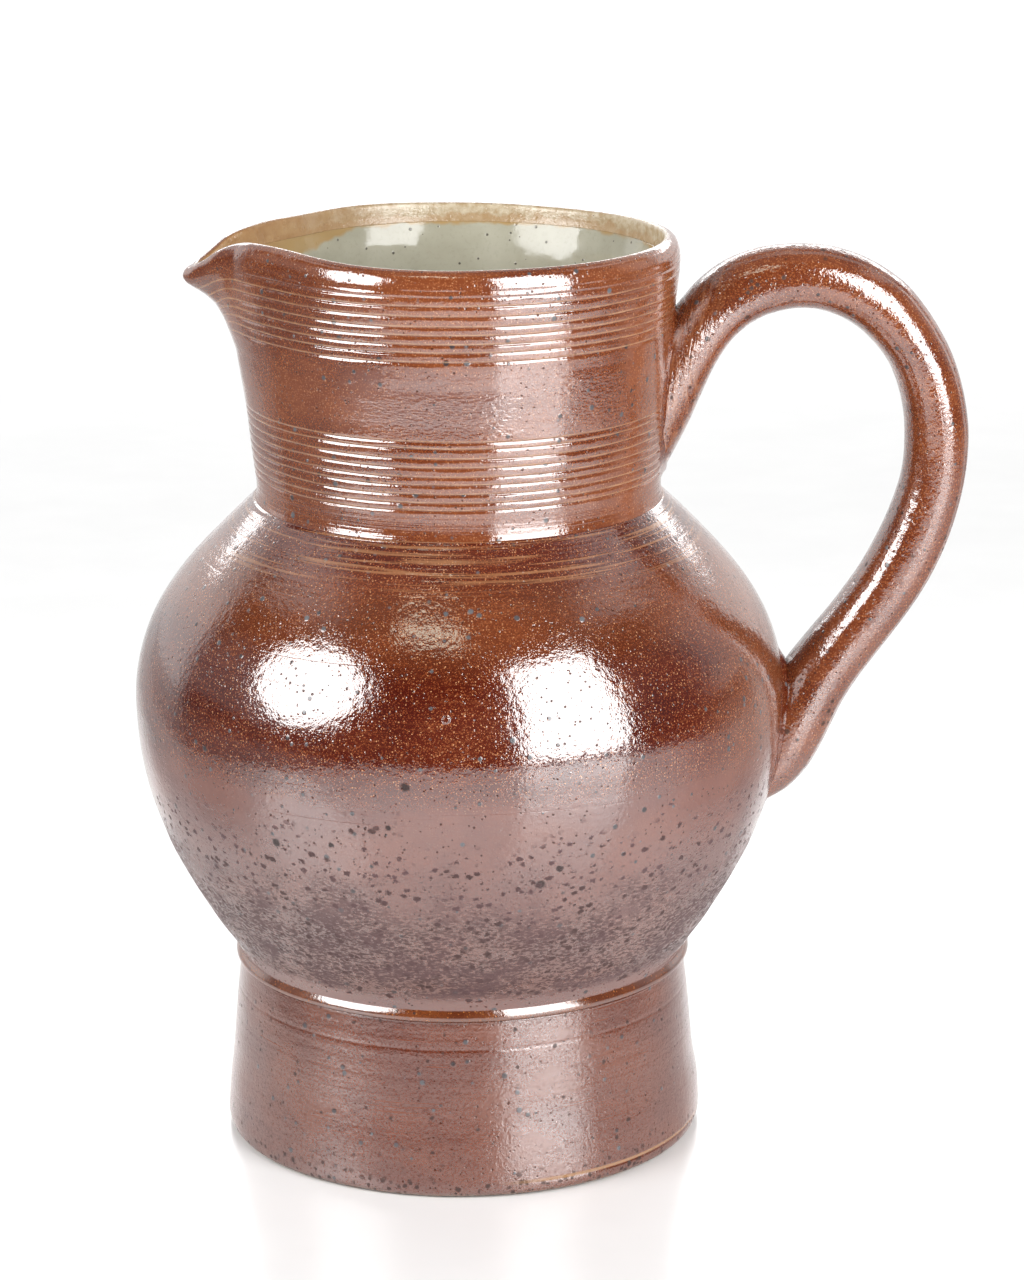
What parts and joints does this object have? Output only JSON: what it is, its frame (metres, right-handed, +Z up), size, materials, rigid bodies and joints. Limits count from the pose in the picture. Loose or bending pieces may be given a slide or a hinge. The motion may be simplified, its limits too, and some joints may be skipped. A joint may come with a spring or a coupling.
{
  "type": "water jug",
  "caption": "Glazed stoneware water jug with a rounded belly on a flared foot, a ribbed neck drawn out into a pouring spout, and a looped strap handle.",
  "frame": {"origin": "on the vessel's axis, in the plane of the flat underside that stands on the table", "axes": "+Z up along the vessel's axis, +X towards the handle, -X towards the spout"},
  "size_m": [0.1985, 0.1554, 0.2175],
  "materials": {
    "salt_glaze": "glossy iron-brown salt glaze with a fine orange-peel skin and dark specks",
    "bead_glaze": "glossy orange-brown glaze, thin on the edge",
    "lining_glaze": "glossy grey-green lining glaze with small dark specks"
  },
  "bodies": {
    "root": {"foot": "salt_glaze", "foot_luting_bead": "bead_glaze", "belly": "salt_glaze", "neck_collar": "salt_glaze", "handle": "salt_glaze", "upper_luting_clay": "salt_glaze", "lower_luting_clay": "salt_glaze", "glaze_lining": "lining_glaze"}
  },
  "joints": []
}
